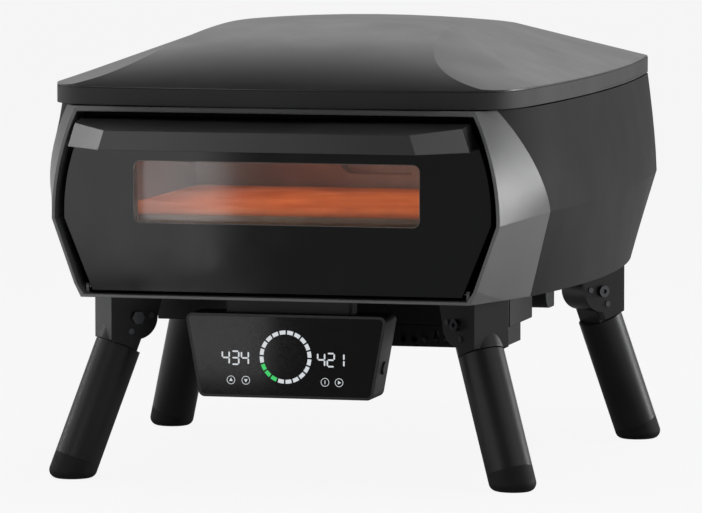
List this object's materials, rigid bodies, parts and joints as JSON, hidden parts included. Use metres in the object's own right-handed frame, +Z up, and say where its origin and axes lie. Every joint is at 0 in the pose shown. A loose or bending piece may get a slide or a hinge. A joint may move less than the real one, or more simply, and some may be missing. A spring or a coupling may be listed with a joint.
{
  "type": "portable electric pizza oven",
  "caption": "Low faceted oven with a domed lid, drop-down glass door with a bar handle, hanging control panel and splayed folding legs; bakes pizza on a stone",
  "frame": {"origin": "on the ground under the middle of the oven's length and width", "axes": "+Z up, +Y from the door to the back, +X to the right seen from the front"},
  "size_m": [0.6054, 0.8662, 0.4915],
  "materials": {
    "lid_coat": "satin",
    "body_coat": "satin",
    "bezel_coat": "satin",
    "under_coat": "satin",
    "leg_coat": "satin",
    "handle_coat": "satin",
    "frame_coat": "satin",
    "door_glass": "gloss",
    "inner_glass": "gloss",
    "panel_glass": "gloss",
    "panel_plastic": "matte",
    "fan_plastic": "matte",
    "socket_plastic": "satin",
    "circuit_board": "satin",
    "fastener_steel": "satin",
    "chamber_steel": "satin",
    "rod_sheath": "matte",
    "sink_aluminium": "satin",
    "baking_stone": "matte",
    "wool": "matte",
    "silicone": "matte",
    "foot_rubber": "matte"
  },
  "bodies": {
    "oven": {"base_plate": "under_coat", "base_screws": "fastener_steel", "body_shell": "body_coat", "bracket_screws": "fastener_steel", "button_switch": "fan_plastic", "cavity_liner": "chamber_steel", "control_glass": "panel_glass", "control_housing": "panel_plastic", "display_board": "circuit_board", "duct_tray": "under_coat", "fan_box": "under_coat", "fan_frame": "fan_plastic", "fan_screws": "fastener_steel", "front_bezel": "bezel_coat", "heat_reflector": "chamber_steel", "heat_sink": "sink_aluminium", "heater_clips": "chamber_steel", "inlet_housing": "panel_plastic", "insulation_jacket": "wool", "leg_bracket_front_left": "leg_coat", "leg_bracket_front_right": "leg_coat", "leg_bracket_rear_left": "leg_coat", "leg_bracket_rear_right": "leg_coat", "leg_detent_rivets": "fastener_steel", "leg_pivot_bolts": "fastener_steel", "lid_insulation": "wool", "lid_seal": "silicone", "lid_shell": "lid_coat", "lower_heater": "rod_sheath", "panel_neck": "under_coat", "pizza_stone": "baking_stone", "power_board": "circuit_board", "power_inlet": "socket_plastic", "recess_cup": "chamber_steel", "relays": "fan_plastic", "sill_pads": "silicone", "stone_rails": "chamber_steel", "temperature_probe": "chamber_steel", "upper_heater": "rod_sheath"},
    "door": {"door_glass": "door_glass", "door_frame": "frame_coat", "door_inner_glass": "inner_glass", "door_seal": "silicone", "door_handle": "handle_coat", "handle_screws": "fastener_steel", "hinge_pins": "fastener_steel"},
    "button": {"side_button": "panel_plastic"},
    "fan": {"fan_rotor": "fan_plastic"},
    "leg_front_left": {"leg_knuckle_front_left": "leg_coat", "leg_tube_front_left": "leg_coat", "leg_foot_front_left": "foot_rubber"},
    "leg_front_right": {"leg_knuckle_front_right": "leg_coat", "leg_tube_front_right": "leg_coat", "leg_foot_front_right": "foot_rubber"},
    "leg_rear_left": {"leg_knuckle_rear_left": "leg_coat", "leg_tube_rear_left": "leg_coat", "leg_foot_rear_left": "foot_rubber"},
    "leg_rear_right": {"leg_knuckle_rear_right": "leg_coat", "leg_tube_rear_right": "leg_coat", "leg_foot_rear_right": "foot_rubber"}
  },
  "joints": [
    {"name": "door_hinge", "type": "hinge", "parent": "oven", "child": "door", "pos_m": [0, -0.34445, 0.2145], "axis": [1, 0, 0], "range_deg": [0, 90]},
    {"name": "button_press", "type": "slide", "parent": "oven", "child": "button", "axis": [-0.9846, 0, 0.175], "range_m": [0, 0.0015], "stiffness_N_per_m": 600},
    {"name": "fan_spin", "type": "hinge", "parent": "oven", "child": "fan", "pos_m": [0.075, -0.05295, 0.15], "axis": [0, 0, 1], "continuous": true},
    {"name": "leg_fold_front_left", "type": "hinge", "parent": "oven", "child": "leg_front_left", "pos_m": [-0.19214, -0.24632, 0.174], "axis": [0.6157, -0.788, 0], "range_deg": [0, 110]},
    {"name": "leg_fold_front_right", "type": "hinge", "parent": "oven", "child": "leg_front_right", "pos_m": [0.19214, -0.24632, 0.174], "axis": [0.6157, 0.788, 0], "range_deg": [0, 110]},
    {"name": "leg_fold_rear_left", "type": "hinge", "parent": "oven", "child": "leg_rear_left", "pos_m": [-0.2315, 0.18014, 0.174], "axis": [-0.7193, -0.6947, 0], "range_deg": [0, 110]},
    {"name": "leg_fold_rear_right", "type": "hinge", "parent": "oven", "child": "leg_rear_right", "pos_m": [0.2315, 0.18014, 0.174], "axis": [-0.7193, 0.6947, 0], "range_deg": [0, 110]}
  ]
}
